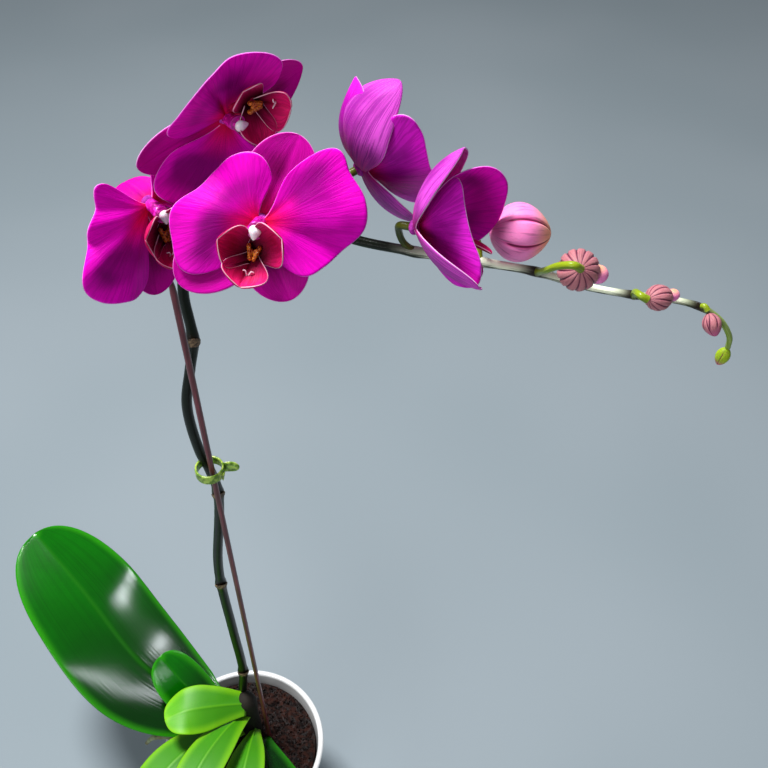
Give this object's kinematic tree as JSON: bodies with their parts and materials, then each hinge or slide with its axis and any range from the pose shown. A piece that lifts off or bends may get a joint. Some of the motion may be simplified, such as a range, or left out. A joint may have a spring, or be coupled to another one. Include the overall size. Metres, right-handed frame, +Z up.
{
  "type": "potted moth orchid",
  "caption": "Potted moth orchid: an arching flower spike clipped to a stake, open blooms and buds, fleshy leaves and a white glazed pot.",
  "frame": {"origin": "centre of the pot's underside", "axes": "+Z up, +X along the arch of the flower spike from the crown to its tip, the blooms look towards -Y"},
  "size_m": [0.4517, 0.2752, 0.6668],
  "materials": {
    "pot_glaze": "smooth white glaze",
    "bark_mix": "dark damp bark chips",
    "leaf_dark": null,
    "leaf_young": null,
    "root": null,
    "stem": null,
    "stake": "burgundy painted rod",
    "clip": "translucent yellow-green plastic",
    "petal": null,
    "lip": null,
    "callus": null,
    "anther_cap": null,
    "bud_pink": null,
    "bud_tan": null,
    "bud_green": null
  },
  "bodies": {
    "root": {"pot": "pot_glaze", "potting_mix": "bark_mix", "crown": "leaf_dark", "leaf_1": "leaf_dark", "leaf_2": "leaf_dark", "leaf_3": "leaf_young", "leaf_4": "leaf_young", "leaf_5": "leaf_young", "leaf_6": "leaf_young", "leaf_7": "leaf_dark", "aerial_root": "root", "flower_spike": "stem", "stake": "stake", "spike_clip": "clip", "flower_a_tepals": "petal", "flower_a_lip": "lip", "flower_a_anther_cap": "anther_cap", "flower_a_callus": "callus", "flower_b_tepals": "petal", "flower_b_lip": "lip", "flower_b_anther_cap": "anther_cap", "flower_b_callus": "callus", "flower_c_tepals": "petal", "flower_c_lip": "lip", "flower_c_anther_cap": "anther_cap", "flower_c_callus": "callus", "flower_d_tepals": "petal", "flower_d_lip": "lip", "flower_d_anther_cap": "anther_cap", "flower_e_tepals": "petal", "flower_e_lip": "lip", "flower_e_anther_cap": "anther_cap", "bud_f": "bud_pink", "bud_g": "bud_tan", "bud_h": "bud_tan", "bud_i": "bud_tan", "tip_bud": "bud_green"}
  },
  "joints": []
}
